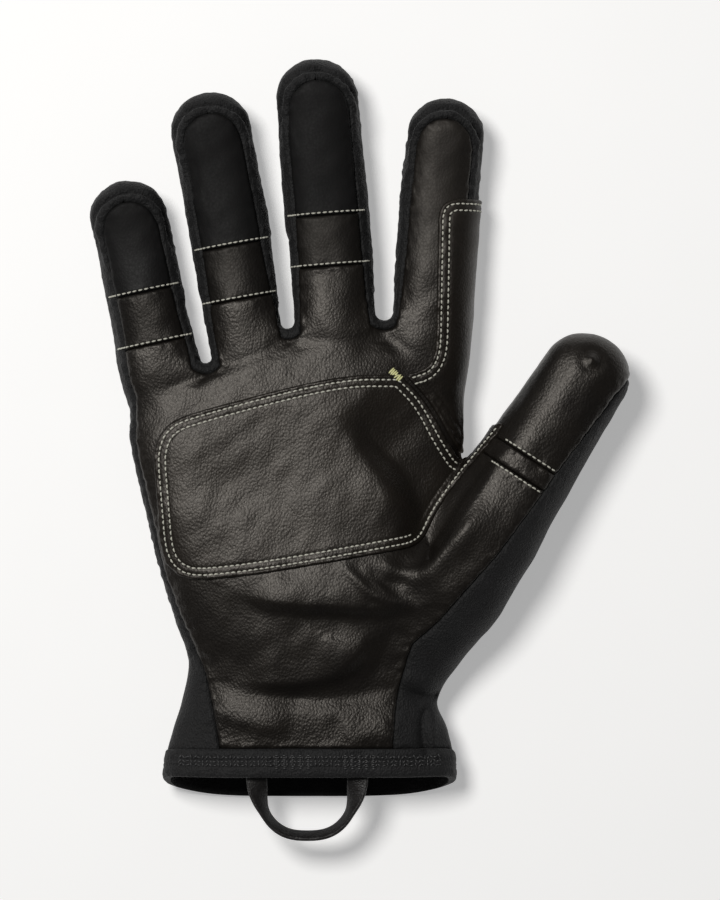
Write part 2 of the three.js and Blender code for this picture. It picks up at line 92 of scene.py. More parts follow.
# at, left, right, high, bow: shares of the palm's length, width, width, depth and length
PALM_ROWS = [
    (-0.1, -0.366, 0.5, 0.84, 0), (0, -0.366, 0.5, 0.84, 0), (0.08, -0.362, 0.498, 0.84, 0),
    (0.145, -0.34, 0.48, 0.84, 0), (0.21, -0.312, 0.447, 0.84, 0), (0.29, -0.293, 0.45, 0.88, 0),
    (0.36, -0.32, 0.465, 0.94, 0), (0.46, -0.366, 0.49, 0.99, 0), (0.58, -0.408, 0.505, 1, 0.006),
    (0.7, -0.445, 0.517, 0.96, 0.015), (0.81, -0.468, 0.52, 0.9, 0.03), (0.91, -0.44, 0.5, 0.84, 0.06),
    (1, -0.37, 0.46, 0.74, 0.086),
]
BOW_MIDDLE = 0.18
BOW_SPAN = 0.42
BOW_MOST = 1.1
# hollows pressed into the palm side: x, y, reach x, reach y, depth
DENTS = [(-0.1, 0.66, 0.22, 0.16, 0.09), (0.12, 0.25, 0.3, 0.05, 0.04)]
LEFT_SEAM = [
    (-0.46, 0.93), (-0.447, 0.87), (-0.449, 0.77), (-0.428, 0.68), (-0.398, 0.59),
    (-0.362, 0.485), (-0.314, 0.39), (-0.262, 0.305), (-0.235, 0.25), (-0.195, 0.1), (-0.18, 0),
]
RIGHT_SEAM = [(0.36, 0.3), (0.33, 0.215), (0.316, 0.1), (0.314, 0)]
# patch corners: x, y, radius in mm, rows of stitches along the edge that starts there
PALM_PATCH = [
    (0.338, 0.9, 2, 2), (0.16, 0.9, 60, 2), (-0.2, 0.836, 60, 2), (-0.4, 0.79, 14, 2),
    (-0.362, 0.462, 15, 2), (-0.11, 0.474, 30, 2), (0.4, 0.54, 5, 1), (0.46, 0.63, 20, 1),
    (0.655, 0.8, 3, 0), (0.57, 0.78, 3, 0), (0.52, 0.713, 3, 2), (0.472, 0.764, 30, 2), (0.41, 0.85, 20, 2),
]
INDEX_PATCH = [
    (0.62, 1.273, 1, 2), (0.452, 1.273, 7, 2), (0.443, 0.92, 10, 2), (0.352, 0.9, 2, 0),
    (0.424, 0.846, 20, 0), (0.486, 0.764, 30, 0), (0.53, 0.724, 3, 0), (0.56, 0.8, 3, 0),
]
# Between two fingers: radius of the gap, then its two ends, the lower one first
CROTCHES = [
    (2.1, (-27.0, 147.4), (-31.0, 165.0)),
    (2.5, (0.4, 159.3), (-2.0, 186.0)),
    (3.0, (32.5, 162.9), (32.7, 180.0)),
]
CROTCH_RIM = 3.4  # cloth that shows round the foot of each gap
FOOT_ABOVE, FOOT_REACH = 1.0, 13.0  # how far above and round the foot it can be
WEB_RADIUS, WEB_DROP, WEB_TOP = 6.5, 5.5, 20.5  # what fills the corner below each gap
# the thumb's gore on the back of the hand
BACK_GORE = [
    (0.3, -0.2), (0.33, 0.35), (0.44, 0.62), (0.53, 0.72), (0.66, 0.86), (0.66, 1.4),
    (2.0, 1.4), (2.0, -0.2),
]
GORE_TOP = 0.93 * PALM_LENGTH  # there the gore meets the strip on the index finger's side
FINGER_START = -0.3  # from this share of a finger's length on its front is leather
THUMB_START, THUMB_END, THUMB_INNER = 0.02, 1.12, 0.75  # the same on the thumb, and its inner edge
SEAM_LIFTS = 0.2  # from this share of a limb's length on the side seam rises with the limb
# On the little finger's side, up to this X, the leather ends where the skin turns under: the direction's
# Z there, and millimetres for each unit of it. The rest is far from that edge.
UNDER_SIDE, UNDER_SLOPE, UNDER_SCALE, FAR = -20.0, -0.25, 12.0, 99.0
CORNER_MOST = 0.48  # of an edge's length is taken by each of its round corners
PATCH_ROWS = (1.6, 3.8)  # from a patch's edge to its rows of stitches
SKIN_STEP = 1.05
SKIN_LOW, SKIN_HIGH = (-68.0, -6.0, -2.0), (118.0, 252.0, 40.0)


def place(x, y):
    """Shares of the palm as millimetres."""
    return x * PALM_WIDTH, y * PALM_LENGTH


def smooth_column(rows, col, at):
    """A column of a table, read along a smooth curve through its rows."""
    x = np.array([row[0] for row in rows])
    y = np.array([row[col] for row in rows])
    step = np.diff(x)
    slope = np.diff(y) / step
    m = np.empty_like(y)
    m[0], m[-1] = slope[0], slope[-1]
    w1 = 2 * step[1:] + step[:-1]
    w2 = step[1:] + 2 * step[:-1]
    same = slope[1:] * slope[:-1] > 0
    with np.errstate(divide="ignore", invalid="ignore"):
        m[1:-1] = np.where(same, (w1 + w2) / (w1 / slope[:-1] + w2 / slope[1:]), 0.0)
    at = np.clip(at, x[0], x[-1])
    i = np.clip(np.searchsorted(x, at) - 1, 0, len(step) - 1)
    h = step[i]
    t = (at - x[i]) / h
    return (
        (2 * t**3 - 3 * t**2 + 1) * y[i] + (t**3 - 2 * t**2 + t) * h * m[i]
        + (3 * t**2 - 2 * t**3) * y[i + 1] + (t**3 - t**2) * h * m[i + 1]
    )


def bell(x, width):
    return np.exp(-((x / width) ** 2))


def ridge(x, at, width, height):
    return height * bell(x - at, width)


def smoothstep(low, high, x):
    t = np.clip((x - low) / (high - low), 0, 1)
    return t * t * (3 - 2 * t)


def smooth_min(a, b, k):
    h = np.clip(0.5 + 0.5 * (b - a) / k, 0, 1)
    return b + (a - b) * h - k * h * (1 - h)


def limb_axes(limb):
    turn = math.radians(limb[2])
    return place(limb[0], limb[1]), math.sin(turn), math.cos(turn)


def across_along(limb, x, y):
    (rx, ry), s, c = limb_axes(limb)
    return (x - rx) * c + (y - ry) * s, (y - ry) * c - (x - rx) * s


def limb_point(limb, across, along):
    (rx, ry), s, c = limb_axes(limb)
    return rx - s * along + c * across, ry + c * along + s * across


def tube_distance(u, low, high, half, z, power, *caps):
    """About how far a point is outside a tube of superellipse sections with round ends."""
    middle, tall = (low + high) / 2, (high - low) / 2
    uu = np.maximum(np.abs(u) / half, 1e-6)
    zz = np.maximum(np.abs(z - middle) / tall, 1e-6)
    flat = np.maximum((uu**power + zz**power) ** (1 / power), 0.05)
    reach = sum(cap**2 for cap in caps)
    g = np.sqrt(flat**2 + reach)
    du = (uu / flat) ** (power - 1) / half * flat / g
    dz = (zz / flat) ** (power - 1) / tall * flat / g
    slope = np.sqrt(du**2 + dz**2 + reach / g**2 / CAP_SCALE**2)
    return (g - 1) / np.maximum(slope, 0.02)


def limb_distance(limb, rows, x, y, z):
    u, v = across_along(limb, x, y)
    length, width, depth = limb[3:6]
    at = v / length
    half = width * smooth_column(rows, 1, at)
    low = depth * smooth_column(rows, 2, at) - PRESSED_FLAT
    high = depth * smooth_column(rows, 3, at)
    cap = width * rows[-1][1] * TIP_CAP
    tip = np.maximum(0, v - (length - cap)) / cap
    start = np.maximum(0, rows[0][0] * length + ROOT_CAP - v) / ROOT_CAP
    return tube_distance(u, low, high, half, z, FINGER_ROUND, tip, start)


def bowed(x):
    return np.minimum(BOW_MOST, ((x / PALM_WIDTH - BOW_MIDDLE) / BOW_SPAN) ** 2)


def palm_distance(x, y, z):
    drop = bowed(x)
    at = y / PALM_LENGTH
    for _ in range(8):
        at = y / PALM_LENGTH + smooth_column(PALM_ROWS, 4, at) * drop
    left = PALM_WIDTH * smooth_column(PALM_ROWS, 1, at)
    right = PALM_WIDTH * smooth_column(PALM_ROWS, 2, at)
    high = PALM_DEPTH * smooth_column(PALM_ROWS, 3, at)
    dent = sum(
        depth * PALM_DEPTH * bell(x / PALM_WIDTH - dx, rx) * bell(y / PALM_LENGTH - dy, ry)
        for dx, dy, rx, ry, depth in DENTS
    )
    upper = np.clip(2 * (z + dent) / high - 1, 0, 1)
    lifted = z + dent * np.sqrt(upper)
    cap = np.maximum(0, (at - 1) * PALM_LENGTH + PALM_CAP) / PALM_CAP
    across, half = x - (left + right) / 2, (right - left) / 2
    return tube_distance(across, -PRESSED_FLAT, high, half, lifted, PALM_ROUND, cap)


def segment_distance(a, b, x, y):
    """Distance to a segment, and how far along it the nearest place is, 0 to 1."""
    ex, ey = b[0] - a[0], b[1] - a[1]
    t = np.clip(((x - a[0]) * ex + (y - a[1]) * ey) / max(ex * ex + ey * ey, 1e-9), 0, 1)
    return np.hypot(x - a[0] - t * ex, y - a[1] - t * ey), t


def hand_distance(x, y, z):
    """The whole hand: negative inside, flat where it rests on the surface."""
    d = smooth_min(palm_distance(x, y, z), limb_distance(THUMB, THUMB_ROWS, x, y, z), THUMB_BLEND)
    for finger in FINGERS.values():
        d = smooth_min(d, limb_distance(finger, FINGER_ROWS, x, y, z), FINGER_BLEND)
    for radius, low, high in CROTCHES:
        web = np.hypot(x - low[0], y - low[1] + WEB_DROP) - WEB_RADIUS
        web = -smooth_min(-web, WEB_TOP / 2 - np.abs(z - WEB_TOP / 2), WEB_BLEND)
        d = smooth_min(d, web, WEB_BLEND)
        d = -smooth_min(-d, segment_distance(low, high, x, y)[0] - radius, GAP_BLEND)
    return -smooth_min(-d, z, FLOOR_BLEND)


def field(points):
    return hand_distance(*points.T)


# The skin of the hand

def surface_nets(values, origin, step):
    """Vertices and quads of the zero surface of a grid of values."""
    inside = values < 0
    shape = np.array(values.shape) - 1
    cells, spots, quads = [], [], []
    for a in range(3):
        b, c = (a + 1) % 3, (a + 2) % 3
        lo, hi = [slice(None)] * 3, [slice(None)] * 3
        lo[a], hi[a] = slice(0, -1), slice(1, None)
        idx = np.argwhere(inside[tuple(lo)] != inside[tuple(hi)])
        ok = (idx[:, b] > 0) & (idx[:, b] < shape[b]) & (idx[:, c] > 0) & (idx[:, c] < shape[c])
        idx = idx[ok]
        far = idx.copy()
        far[:, a] += 1
        f0, f1 = values[tuple(idx.T)], values[tuple(far.T)]
        spot = idx.astype(float)
        spot[:, a] += f0 / (f0 - f1)
        ring = []
        for db, dc in ((0, 0), (-1, 0), (-1, -1), (0, -1)):
            cell = idx.copy()
            cell[:, b] += db
            cell[:, c] += dc
            flat = np.ravel_multi_index(cell.T, shape)
            ring.append(flat)
            cells.append(flat)
            spots.append(spot)
        quad = np.stack(ring, 1)
        flip = f0 > 0
        quad[flip] = quad[flip][:, ::-1]
        quads.append(quad)
    cells, spots, quads = map(np.concatenate, (cells, spots, quads))
    ids, inverse, counts = np.unique(cells, return_inverse=True, return_counts=True)
    verts = np.stack([np.bincount(inverse, spots[:, k]) / counts for k in range(3)], 1)
    return verts * step + origin, np.searchsorted(ids, quads)


def gradient(points, eps=0.15):
    steps = eps * np.eye(3)
    return np.stack([(field(points + s) - field(points - s)) / (2 * eps) for s in steps], 1)


def unit(v):
    return v / np.maximum(np.linalg.norm(v, axis=-1, keepdims=True), 1e-9)


def make_skin():
    """The hand's surface: points, their directions out, and triangles."""
    axes = [np.arange(low, high + SKIN_STEP, SKIN_STEP) for low, high in zip(SKIN_LOW, SKIN_HIGH)]
    values = np.empty([len(a) for a in axes])
    yz = np.stack(np.meshgrid(axes[1], axes[2], indexing="ij"), -1).reshape(-1, 2)
    for i, x in enumerate(axes[0]):
        points = np.column_stack([np.full(len(yz), x), yz])
        values[i] = field(points).reshape(len(axes[1]), len(axes[2]))
    verts, quads = surface_nets(values, np.array(SKIN_LOW), SKIN_STEP)
    for _ in range(3):
        g = gradient(verts)
        size = np.maximum((g**2).sum(1), 0.05)
        move = field(verts) / size
        verts -= g * np.clip(move, -0.5, 0.5)[:, None]
    normals = unit(gradient(verts))
    d1, d2 = (np.linalg.norm(verts[quads[:, k]] - verts[quads[:, k + 2]], axis=1) for k in (0, 1))
    first = (d1 < d2)[:, None]
    tris = np.concatenate([
        np.where(first, quads[:, [0, 1, 2]], quads[:, [0, 1, 3]]),
        np.where(first, quads[:, [0, 2, 3]], quads[:, [1, 2, 3]]),
    ])
    return verts, normals, tris


# Cutting the skin into panels

def split(table, tris, col, level):
    """Cuts triangles along the line where a column has a value."""
    s = table[:, col] - level
    s = np.where(np.abs(s) < 1e-4, 1e-4, s)
    side = (s > 0)[tris]
    count = side.sum(1)
    crossed = (count == 1) | (count == 2)
    if not crossed.any():
        return table, tris
    cut, side, count = tris[crossed], side[crossed], count[crossed]
    lone = np.argmax(side == (count == 1)[:, None], axis=1)
    row = np.arange(len(cut))
    a, b, c = cut[row, lone], cut[row, (lone + 1) % 3], cut[row, (lone + 2) % 3]
    edges = np.sort(np.concatenate([np.stack([a, b], 1), np.stack([a, c], 1)]), 1)
    keys, inverse = np.unique(edges[:, 0] * len(table) + edges[:, 1], return_inverse=True)
    e0, e1 = keys // len(table), keys % len(table)
    t = (s[e0] / (s[e0] - s[e1]))[:, None]
    fresh = table[e0] * (1 - t) + table[e1] * t
    fresh[:, col] = level
    ids = len(table) + inverse
    p, q = ids[: len(cut)], ids[len(cut):]
    tris = np.concatenate([
        tris[~crossed], np.stack([a, p, q], 1), np.stack([p, b, c], 1), np.stack([p, c, q], 1)
    ])
    return np.vstack([table, fresh]), tris


def compact(table, tris):
    used, inverse = np.unique(tris, return_inverse=True)
    return table[used], inverse.reshape(-1, 3)


def polygon_distance(poly, x, y, margin=6.0):
    """Distance to an outline, positive inside, and not worked out beyond a margin round its box."""
    poly = np.asarray(poly, float)
    out = np.full(x.shape, -margin)
    low, high = poly.min(0) - margin, poly.max(0) + margin
    here = (x > low[0]) & (x < high[0]) & (y > low[1]) & (y < high[1])
    px, py = x[here], y[here]
    best = np.full(px.shape, 1e9)
    inside = np.zeros(px.shape, bool)
    for (ax, ay), (bx, by) in zip(poly, np.roll(poly, -1, axis=0)):
        best = np.minimum(best, segment_distance((ax, ay), (bx, by), px, py)[0])
        if ay != by:
            inside ^= ((ay > py) != (by > py)) & (px < (bx - ax) * (py - ay) / (by - ay) + ax)
    out[here] = np.where(inside, best, -best)
    return out


def smooth_line(points, count=6):
    """A Catmull-Rom line through points."""
    p = np.asarray(points, float)
    p = np.vstack([2 * p[0] - p[1], p, 2 * p[-1] - p[-2]])
    out = []
    for i in range(1, len(p) - 2):
        for t in np.linspace(0, 1, count, endpoint=False):
            out.append(0.5 * (
                2 * p[i] + (p[i + 1] - p[i - 1]) * t
                + (2 * p[i - 1] - 5 * p[i] + 4 * p[i + 1] - p[i + 2]) * t**2
                + (3 * p[i] - p[i - 1] - 3 * p[i + 1] + p[i + 2]) * t**3
            ))
    out.append(p[-2])
    return [tuple(v) for v in out]


def rounded_outline(corners, steps=7):
    """Corners with a radius as a round outline, with each point's rows of stitches."""
    points, rows = [], []
    spots = [np.array(place(c[0], c[1])) for c in corners]
    for i, corner in enumerate(corners):
        at = spots[i]
        a, b = (
            at + unit(end - at) * min(corner[2], np.linalg.norm(end - at) * CORNER_MOST)
            for end in (spots[i - 1], spots[(i + 1) % len(corners)])
        )
        for t in np.linspace(0, 1, steps):
            points.append(tuple((1 - t) ** 2 * a + 2 * t * (1 - t) * at + t * t * b))
            rows.append(corners[i - 1][3] if t < 0.5 else corner[3])
    return points, rows


def pad_outline(finger, start, end=None):
    """A finger's leather between two shares of its length, or up to its tip."""
    length, width = finger[3:5]
    tip_half = width * FINGER_ROWS[-1][1] - RIM
    top = length - TIP_RIM - tip_half if end is None else length * end
    along = np.linspace(length * start, top, 14)
    half = width * smooth_column(FINGER_ROWS, 1, along / length) - RIM
    angles = np.radians(np.arange(10, 180, 10) if end is None else [])
    across = np.concatenate([half, tip_half * np.cos(angles), -half[::-1]])
    along = np.concatenate([along, top + tip_half * np.sin(angles), along[::-1]])
    return np.column_stack(limb_point(finger, across, along))


def thumb_outline(start, end):
    """The thumb's leather between two shares of its length, out to its seam."""
    length, width = THUMB[3:5]
    at = np.linspace(start, end, 16)
    across = width * np.array([*smooth_column(THUMB_ROWS, 4, at), -THUMB_INNER, -THUMB_INNER])
    along = length * np.array([*at, end, start])
    return np.column_stack(limb_point(THUMB, across, along))


def web_line():
    """The palm leather's edge along the roots of the fingers."""
    x = PALM_WIDTH * np.linspace(-0.36, 0.4, 24)
    y = (1 - PALM_ROWS[-1][4] * bowed(x)) * PALM_LENGTH - WEB_RIM
    return list(zip(x, y))


verts, normals, skin_tris = make_skin()
X, Y, Z = verts.T

# which limb each point belongs to, for the height of the seam that joins back and front
limbs = [(finger, FINGER_ROWS) for finger in FINGERS.values()] + [(THUMB, THUMB_ROWS)]
near = [palm_distance(X, Y, Z)] + [limb_distance(limb, rows, X, Y, Z) for limb, rows in limbs]
owner = np.argmin(near, axis=0)
lift = np.zeros(len(X))
for i, (limb, rows) in enumerate(limbs, 1):
    at = across_along(limb, X, Y)[1] / limb[3]
    low = np.where(at < SEAM_LIFTS, 0, limb[5] * smooth_column(rows, 2, at))
    lift = np.where(owner == i, low, lift)
ABOVE = Z - BACK_SEAM - lift
U = {name: across_along(finger, X, Y)[0] for name, finger in FINGERS.items()}
UNDER = np.where(X < UNDER_SIDE, UNDER_SCALE * (normals[:, 2] - UNDER_SLOPE), FAR)


def outline_distance(points):
    return polygon_distance(points, X, Y)


pads = {}
for name, finger in FINGERS.items():
    if finger[6]:
        first, second = finger[6]
        pads[name + "_mid_pad"] = outline_distance(pad_outline(finger, first, second))
        pads[name + "_tip_pad"] = outline_distance(pad_outline(finger, second))
pads["thumb_band"] = outline_distance(thumb_outline(*THUMB[6]))
pads["thumb_tip"] = outline_distance(thumb_outline(THUMB[6][1], THUMB_END))

palm_outline = (
    smooth_line([place(*p) for p in LEFT_SEAM[::-1]]) + web_line()
    + [place(0.56, 0.96), place(0.55, 0.76), place(0.48, 0.55)]
    + smooth_line([place(*p) for p in RIGHT_SEAM])
)
index = FINGERS["index"]
index_outer = [
    limb_point(index, u * index[4], v * index[3])
    for u, v in ((0, FINGER_START), (0.75, FINGER_START), (0.75, 0.53), (0, 0.53))
]
leather_shapes = [palm_outline, index_outer, thumb_outline(THUMB_START, THUMB[6][0])]
leather_shapes += [pad_outline(finger, FINGER_START, *finger[6][:1]) for finger in FINGERS.values()]
palm_leather = np.max([outline_distance(shape) for shape in leather_shapes], axis=0)
for radius, low, high in CROTCHES:
    beyond_rim = segment_distance(low, high, X, Y)[0] - radius - CROTCH_RIM
    foot = np.minimum(low[1] + FOOT_ABOVE - Y, FOOT_REACH - np.hypot(X - low[0], Y - low[1]))
    palm_leather = np.maximum(palm_leather, np.minimum(beyond_rim, foot))
not_pads = -np.max(list(pads.values()), axis=0)
palm_leather = np.minimum.reduce([palm_leather, not_pads, UNDER])
sides = np.minimum(-palm_leather, not_pads)

gore_front = np.minimum.reduce([sides, U["index"], GORE_TOP - Y])
gore_back = outline_distance([place(*p) for p in BACK_GORE])
gore = np.where(
    ABOVE > 0,
    np.minimum(gore_front, np.maximum(ABOVE, gore_back)),
    np.minimum(gore_back, np.maximum(-ABOVE, gore_front)),
)
front = {name: np.minimum(d, ABOVE) for name, d in pads.items()}
front["palm_leather"] = np.minimum(palm_leather, ABOVE)
cloth = {"little_side": np.minimum(sides, -U["little"])}
for one, other in zip(list(FINGERS), list(FINGERS)[1:]):
    cloth[f"{one}_{other}_side"] = np.minimum.reduce([sides, U[one], -U[other]])
cloth["index_side"] = np.minimum.reduce([sides, U["index"], Y - GORE_TOP])
cloth = {name: np.minimum(d, ABOVE) for name, d in cloth.items()}
cloth["thumb_gore"] = gore
cloth["back_panel"] = np.minimum(-ABOVE, -gore_back)


def cuff_bow(x):
    return CUFF_BOW * np.minimum(1, ((x - CUFF_MIDDLE) / CUFF_HALF) ** 4)


# how far along from the cuff's slanted edge
FROM_CUFF = Y - CUFF_SLANT * Z - cuff_bow(X)
for group in (front, cloth):
    for name in group:
        group[name] = np.minimum(group[name], FROM_CUFF - HEM_HEIGHT)


# Folds of the leather: the width to the left of the line and to its right, and the height, in mm, then
# the points that the line runs through. A negative height is a crease.
FOLDS = [
    # the edge of the palm's flat part, beside the crease of the thumb
    (5, 4, 0.9, (15.4, 125.4), (26.7, 115.1), (34, 104.8), (39.1, 93.5)),
    # the roll of leather round the thumb's root
    (2.4, 4.5, 1.5, (27, 81), (33, 78.6), (39, 75.8), (45.8, 76.8), (51.3, 81.8), (57.3, 88.6), (68, 99.5)),
    (5.5, 1.9, -3.2, (42.7, 76.6), (44.3, 79.1), (47.5, 84.2), (51.9, 90.9), (57.4, 99.3), (61.7, 106),
     (67.2, 114.4)),
    (2.2, 1.6, -0.5, (24, 77.5), (31, 73), (38, 72.5), (43, 71.5)),
    # wrinkles gathered below it
    (1.9, 1.6, 1, (17, 80), (23, 74), (29, 68.8), (35.5, 66.2), (44, 65.3)),
    (1.3, 1.2, 0.55, (24.6, 79), (31, 71.2), (37, 67)),
    # crests across the heel and the wrist, steeper towards the cuff
    (2.6, 10.5, 2.4, (44, 64.8), (35, 64.3), (15, 65), (-4, 66.5), (-16, 70)),
    (3.2, 11.5, 2.4, (25, 58), (23.5, 50), (17, 43.5), (4, 40), (-16, 40)),
    (3.5, 8, 1.3, (2, 24), (-10, 26), (-26, 31)),
    (3.5, 8, 1.2, (37, 22), (28, 22), (18, 19)),
    (5, 5, 0.6, (26, 14), (8, 12), (-12, 14)),
    (3, 3, -0.8, (34, 38), (20, 34), (6, 33.5), (-8, 36)),
    (7, 3, -0.9, (38, 60), (33, 50), (30, 40)),
    # puckers at the two notches of the wrist
    (1.4, 1.4, -2.6, (54, 35.6), (46, 34.2), (40, 36.5)),
    (2.4, 2.4, 1.1, (51, 39), (44, 39.2), (38, 42)),
    (1.6, 1.4, -1.9, (46.5, 33), (45, 24), (47, 13)),
    (1.5, 1.5, 0.9, (50, 31), (49, 22), (51, 12)),
    (2, 2, -0.9, (-33, 49), (-24, 45)),
    # the hide runs on smoothly from the palm to the fingers' roots
    (11, 5, 0.9, (-46, 137), (-31, 143), (-20, 147), (-12, 149.5), (-4, 152.5), (8, 155), (24, 156),
     (46, 154)),
]
# The crease between the palm and the thumb: steep on the palm's side, and long towards the thumb
CREASE = [(20, 130), (27, 123), (34, 115.5), (41.2, 106.9), (45.5, 97), (46.5, 89)]
CREASE_DEPTH, CREASE_LEFT, CREASE_RIGHT = 5.2, 6.5, 26.0
THUMB_FOOT = (-8.8, -12.4)  # across the thumb, from where the crease has ended to where it is whole
# Round a fingertip's pad: how far beyond it the cloth's groove, its roll and its gathers are, how wide
# and how high, then the height of the puckers outside them
TIP_GROOVE, TIP_ROLL, TIP_GATHERS = (3.4, 0.7, -1.5), (1.7, 1.0, 0.5), (1.9, 1.3, 0.25)
TIP_PUCKERS = 0.2
TIP_LINES = (2.2, 2.7, 3.05, 3.4, 3.75, 4.1, 4.6)
# The raised pinch near the thumb's tip and the ring round it: radius, width and height
THUMB_PINCH = (101.2, 146.2)
PINCH, PINCH_RING = (0.0, 1.5, 0.8), (3.2, 1.4, -0.5)
SWELLS = ((0.16, 26, 3), (0.06, 9, 4))  # height in mm, size in mm and seed
PUCKER_SIZE, PUCKER_SEED, PUCKER_REACH = 3.4, 7, 3.0  # small waves along a panel's edge
GROOVE_DEPTH, GROOVE_WIDTH, GROOVE_SIDE = 0.22, 0.5, 0.55  # under a row of stitches
ROLL_LEVELS = (0.06, 0.2, 0.45, 1.0)  # where a rolled edge gets lines of points
THINNEST = 0.25


def wave_noise(points, size, seed, count=28):
    """Smooth noise of about unit height whose bumps are about a size across."""
    rng = np.random.default_rng(seed)
    k = rng.normal(size=(count, 3))
    k *= (2 * np.pi / size * rng.uniform(0.6, 1.5, count) / np.linalg.norm(k, axis=1))[:, None]
    phase = rng.uniform(0, 2 * np.pi, count)
    return np.sin(points @ k.T + phase).sum(1) / math.sqrt(count / 2)


def run_lengths(points):
    """How far along a line each of its points is."""
    return np.concatenate([[0], np.cumsum(np.linalg.norm(np.diff(points, axis=0), axis=1))])


def line_distance(line, x, y):
    """Distance to an open line, whether a point lies to its left, and how far along, 0 to 1."""
    line = np.asarray(line, float)
    start = run_lengths(line)
    best, along, left = np.full(x.shape, 1e9), np.zeros(x.shape), np.zeros(x.shape, bool)
    for a, b, s, e in zip(line[:-1], line[1:], start[:-1], start[1:]):
        d, t = segment_distance(a, b, x, y)
        closer = d < best
        along = np.where(closer, (s + t * (e - s)) / start[-1], along)
        left = np.where(closer, (b[0] - a[0]) * (y - a[1]) > (b[1] - a[1]) * (x - a[0]), left)
        best = np.minimum(best, d)
    return best, left, along


def fold(p, line, left_width, right_width):
    """A fold of unit height along a line, with its own width on each side and soft ends."""
    smooth = smooth_line(line) if len(line) > 2 else line
    d, left, along = line_distance(smooth, p[:, 0], p[:, 1])
    fade = smoothstep(-0.02, 0.25, along) * smoothstep(1.02, 0.75, along)
    return bell(d, np.where(left, left_width, right_width)) * (0.1 + 0.9 * fade)


def tip_folds(p):
    """The cloth's fold and gathers round the pad at each fingertip."""
    total = np.zeros(len(p))
    for k, finger in enumerate(FINGERS.values()):
        u, v = across_along(finger, p[:, 0], p[:, 1])
        half = finger[4] * FINGER_ROWS[-1][1] - RIM
        beyond = v - (finger[3] - TIP_RIM - half)
        reach = np.hypot(u, np.maximum(0, beyond)) - half
        angle = np.arctan2(beyond, u)
        near = smoothstep(-13, 2, beyond) * (np.abs(u) < finger[4])
        wander = 0.35 * np.sin(3 * angle + k)
        waves = np.sin(15 * angle + 2 * np.sin(5 * angle + k))
        swell = ridge(reach - wander, *TIP_GROOVE) + ridge(reach, *TIP_ROLL)
        swell = swell + waves * ridge(reach, *TIP_GATHERS)
        swell = swell + TIP_PUCKERS * np.sin(9 * angle + 3 * k) * smoothstep(3.5, 5, reach)
        total = total + near * swell
    return total


def facing_up(n):
    return smoothstep(0.0, 0.5, n[:, 2])


def crumple(p, n):
    """How far the skin swells outwards at a point."""
    swell = sum(height * wave_noise(p, size, seed) for height, size, seed in SWELLS)
    return swell + tip_folds(p) * facing_up(n)


def settle(p, n):
    """How far the folds and the thumb's crease lift the skin at a point."""
    total = np.zeros(len(p))
    for left_width, right_width, height, *line in FOLDS:
        total = total + height * fold(p, line, left_width, right_width)
    x, y = p[:, 0], p[:, 1]
    d, left, along = line_distance(smooth_line(CREASE), x, y)
    whole = smoothstep(-0.02, 0.4, along) * smoothstep(*THUMB_FOOT, across_along(THUMB, x, y)[0])
    total = total - CREASE_DEPTH * bell(d, np.where(left, CREASE_RIGHT, CREASE_LEFT)) * whole
    pinch = np.hypot(x - THUMB_PINCH[0], y - THUMB_PINCH[1])
    total = total + ridge(pinch, *PINCH) + ridge(pinch, *PINCH_RING)
    return total * facing_up(n)


def new_object(name, data):
    obj = bpy.data.objects.new(name, data)
    bpy.context.scene.collection.objects.link(obj)
    return obj


def make_object(name, points, tris, material, smooth=None):
    """An object in the part's frame. Only its first faces are smooth where their number is given."""
    mesh = bpy.data.meshes.new(name)
    mesh.vertices.add(len(points))
    spots = (points - np.array([MIDDLE_X, MIDDLE_Y, 0.0])) * MM
    mesh.vertices.foreach_set("co", spots.astype(np.float32).ravel())
    mesh.loops.add(len(tris) * 3)
    mesh.loops.foreach_set("vertex_index", tris.astype(np.int32).ravel())
    mesh.polygons.add(len(tris))
    mesh.polygons.foreach_set("loop_start", np.arange(0, len(tris) * 3, 3, dtype=np.int32))
    mesh.update(calc_edges=True)
    flags = np.arange(len(tris)) < (len(tris) if smooth is None else smooth)
    mesh.polygons.foreach_set("use_smooth", flags)
    mesh.validate()
    obj = new_object(name, mesh)
    mesh.materials.append(material)
    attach(obj, "root")
    return obj


def close_sheet(outer, inner, tris):
    """Joins an outer and an inner surface along their free edges."""
    n = len(outer)
    e = np.concatenate([tris[:, [0, 1]], tris[:, [1, 2]], tris[:, [2, 0]]])
    i, j = e[~np.isin(e[:, 0] * n + e[:, 1], e[:, 1] * n + e[:, 0])].T
    wall_tris = np.concatenate([np.stack([j, i, i + n], 1), np.stack([j, i + n, j + n], 1)])
    return np.vstack([outer, inner]), np.concatenate([tris, tris[:, ::-1] + n, wall_tris])


# columns of a panel's table of points, after their places and directions
INSIDE, EDGE = 6, 7
surfaces = []


